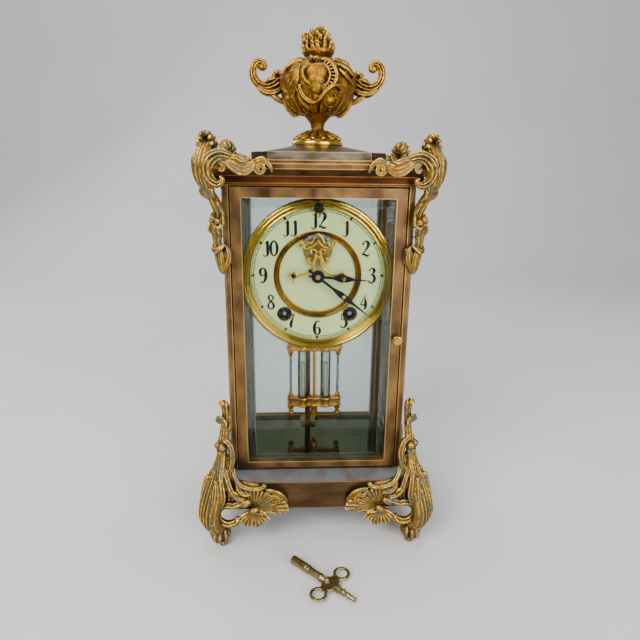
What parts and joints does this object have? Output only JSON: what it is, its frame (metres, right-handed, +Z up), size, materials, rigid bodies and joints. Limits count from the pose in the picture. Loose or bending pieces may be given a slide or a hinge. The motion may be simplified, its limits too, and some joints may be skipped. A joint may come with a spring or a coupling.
{
  "type": "mantel clock",
  "caption": "Glass-sided mantel clock with cast scroll corner mounts and feet, an urn finial, an open-centre dial, a twin-vial pendulum and a loose winding key.",
  "frame": {"origin": "on the surface the clock stands on, midway between the four toe pads", "axes": "+Z up, the dial faces -Y, +X to the right of a viewer facing the dial"},
  "size_m": [0.1838, 0.1997, 0.3944],
  "materials": {
    "case_brass": "bronzed and worn, brighter along the edges",
    "gilt_casting": "antique gilt, dark in the recesses",
    "plate_glass": "clear bevelled plate",
    "polished_floor": "polished dark plate",
    "dark_band": "dark red-brown lacquer with a gilt line",
    "porcelain": "glossy glazed cream",
    "gilt_polished": "bright polished gilt",
    "movement_brass": "turned and brushed",
    "black_metal": "gloss black",
    "steel": "drawn and polished",
    "blued_steel": "blued dark",
    "bright_metal": "bright liquid-like surface"
  },
  "bodies": {
    "case": {"base_plinth": "case_brass", "floor_plate": "polished_floor", "corner_posts": "case_brass", "side_frames": "case_brass", "side_glass": "plate_glass", "frieze": "dark_band", "cornice": "case_brass", "top_platform": "case_brass", "urn_foot": "gilt_casting", "urn_bowl": "gilt_casting", "urn_handle_left": "gilt_casting", "urn_handle_right": "gilt_casting", "urn_flame": "gilt_casting", "top_mount_front_left": "gilt_casting", "top_mount_front_right": "gilt_casting", "top_mount_rear_left": "gilt_casting", "top_mount_rear_right": "gilt_casting", "foot_front_left": "gilt_casting", "foot_front_right": "gilt_casting", "foot_rear_left": "gilt_casting", "foot_rear_right": "gilt_casting", "movement_front_plate": "movement_brass", "movement_back_plate": "movement_brass", "movement_brackets": "movement_brass", "dial_pan": "movement_brass", "dial_bezel": "gilt_polished", "chapter_ring": "porcelain", "dial_centre": "porcelain", "dial_inner_ring": "gilt_polished", "winding_eyelets": "black_metal", "escapement_bridge": "gilt_polished", "suspension_cock": "movement_brass", "gong": "steel", "gong_stand": "movement_brass"},
    "front_door": {"front_door_frame": "case_brass", "front_door_glass": "plate_glass"},
    "front_door_knob": {"front_door_knob": "gilt_polished"},
    "rear_door": {"rear_door_frame": "case_brass", "rear_door_glass": "plate_glass"},
    "rear_door_knob": {"rear_door_knob": "gilt_polished"},
    "minute_hand": {"minute_hand": "blued_steel", "centre_arbor": "movement_brass"},
    "hour_hand": {"hour_hand": "blued_steel"},
    "minute_wheel": {"minute_wheel": "movement_brass"},
    "first_wheel": {"first_wheel": "movement_brass"},
    "third_wheel": {"third_wheel": "movement_brass"},
    "escape_wheel": {"escape_wheel": "movement_brass"},
    "time_barrel": {"time_barrel": "movement_brass"},
    "time_arbor": {"time_arbor": "steel"},
    "strike_barrel": {"strike_barrel": "movement_brass"},
    "strike_arbor": {"strike_arbor": "steel"},
    "strike_wheel": {"strike_wheel": "movement_brass"},
    "hammer": {"hammer": "steel"},
    "pallet_anchor": {"pallet_anchor": "steel"},
    "pendulum": {"pendulum_rod": "steel", "pendulum_frame": "gilt_polished", "pendulum_vials": "plate_glass", "pendulum_fill": "bright_metal"},
    "regulator": {"regulator_arbor": "steel"},
    "winding_key": {"winding_key": "movement_brass"}
  },
  "joints": [
    {"name": "front_door_hinge", "type": "hinge", "parent": "case", "child": "front_door", "pos_m": [-0.0622, -0.0439, 0.17], "axis": [0, 0, -1], "range_deg": [0, 65]},
    {"name": "front_knob_turn", "type": "hinge", "parent": "front_door", "child": "front_door_knob", "pos_m": [0.0603, -0.045, 0.17], "axis": [0, -1, 0], "range_deg": [0, 90]},
    {"name": "rear_door_hinge", "type": "hinge", "parent": "case", "child": "rear_door", "pos_m": [0.0622, 0.0439, 0.17], "axis": [0, 0, -1], "range_deg": [0, 65]},
    {"name": "rear_knob_turn", "type": "hinge", "parent": "rear_door", "child": "rear_door_knob", "pos_m": [-0.0603, 0.045, 0.17], "axis": [0, 1, 0], "range_deg": [0, 90]},
    {"name": "minute_hand_turn", "type": "hinge", "parent": "case", "child": "minute_hand", "pos_m": [0, 0, 0.2163], "axis": [0, 1, 0], "continuous": true},
    {"name": "hour_hand_turn", "type": "hinge", "parent": "case", "child": "hour_hand", "pos_m": [0, 0, 0.2163], "axis": [0, 1, 0], "continuous": true},
    {"name": "minute_wheel_turn", "type": "hinge", "parent": "case", "child": "minute_wheel", "pos_m": [-0.00679, 0, 0.20951], "axis": [0, 1, 0], "continuous": true},
    {"name": "first_wheel_turn", "type": "hinge", "parent": "case", "child": "first_wheel", "pos_m": [0.01378, 0, 0.21037], "axis": [0, 1, 0], "continuous": true},
    {"name": "third_wheel_turn", "type": "hinge", "parent": "case", "child": "third_wheel", "pos_m": [0.00976, 0, 0.22673], "axis": [0, 1, 0], "continuous": true},
    {"name": "escape_wheel_turn", "type": "hinge", "parent": "case", "child": "escape_wheel", "pos_m": [0, 0, 0.233], "axis": [0, 1, 0], "continuous": true},
    {"name": "time_barrel_turn", "type": "hinge", "parent": "case", "child": "time_barrel", "pos_m": [0.0254, 0, 0.186], "axis": [0, 1, 0], "continuous": true},
    {"name": "time_arbor_wind", "type": "hinge", "parent": "case", "child": "time_arbor", "pos_m": [0.0254, 0, 0.186], "axis": [0, 1, 0], "continuous": true},
    {"name": "strike_barrel_turn", "type": "hinge", "parent": "case", "child": "strike_barrel", "pos_m": [-0.0254, 0, 0.186], "axis": [0, 1, 0], "continuous": true},
    {"name": "strike_wheel_turn", "type": "hinge", "parent": "case", "child": "strike_wheel", "pos_m": [-0.01378, 0, 0.21037], "axis": [0, 1, 0], "continuous": true},
    {"name": "strike_arbor_wind", "type": "hinge", "parent": "case", "child": "strike_arbor", "pos_m": [-0.0254, 0, 0.186], "axis": [0, 1, 0], "continuous": true},
    {"name": "hammer_swing", "type": "hinge", "parent": "case", "child": "hammer", "pos_m": [-0.03, 0, 0.226], "axis": [0, -1, 0], "range_deg": [0, 18]},
    {"name": "pendulum_swing", "type": "hinge", "parent": "case", "child": "pendulum", "pos_m": [0, 0.018, 0.2466], "axis": [0, 1, 0], "range_deg": [-2.5, 2.5]},
    {"name": "pallet_rock", "type": "hinge", "parent": "case", "child": "pallet_anchor", "pos_m": [0, 0, 0.2466], "axis": [0, 1, 0], "range_deg": [-2.5, 2.5]},
    {"name": "regulator_turn", "type": "hinge", "parent": "case", "child": "regulator", "pos_m": [0, 0, 0.269], "axis": [0, 1, 0], "range_deg": [-170, 170]},
    {"name": "key_lift", "type": "slide", "parent": "case", "child": "winding_key", "axis": [0, 0, 1], "range_m": [0, 0.15]}
  ],
  "couplings": [
    {"joint": "hour_hand_turn", "follows": "minute_hand_turn", "ratio": 0.083333},
    {"joint": "minute_wheel_turn", "follows": "minute_hand_turn", "ratio": -0.33333},
    {"joint": "first_wheel_turn", "follows": "minute_hand_turn", "ratio": -0.25},
    {"joint": "time_barrel_turn", "follows": "minute_hand_turn", "ratio": 0.03125},
    {"joint": "third_wheel_turn", "follows": "minute_hand_turn", "ratio": -7.5},
    {"joint": "escape_wheel_turn", "follows": "minute_hand_turn", "ratio": 46.875},
    {"joint": "strike_wheel_turn", "follows": "strike_barrel_turn", "ratio": -8},
    {"joint": "pallet_rock", "follows": "pendulum_swing", "ratio": 1}
  ]
}
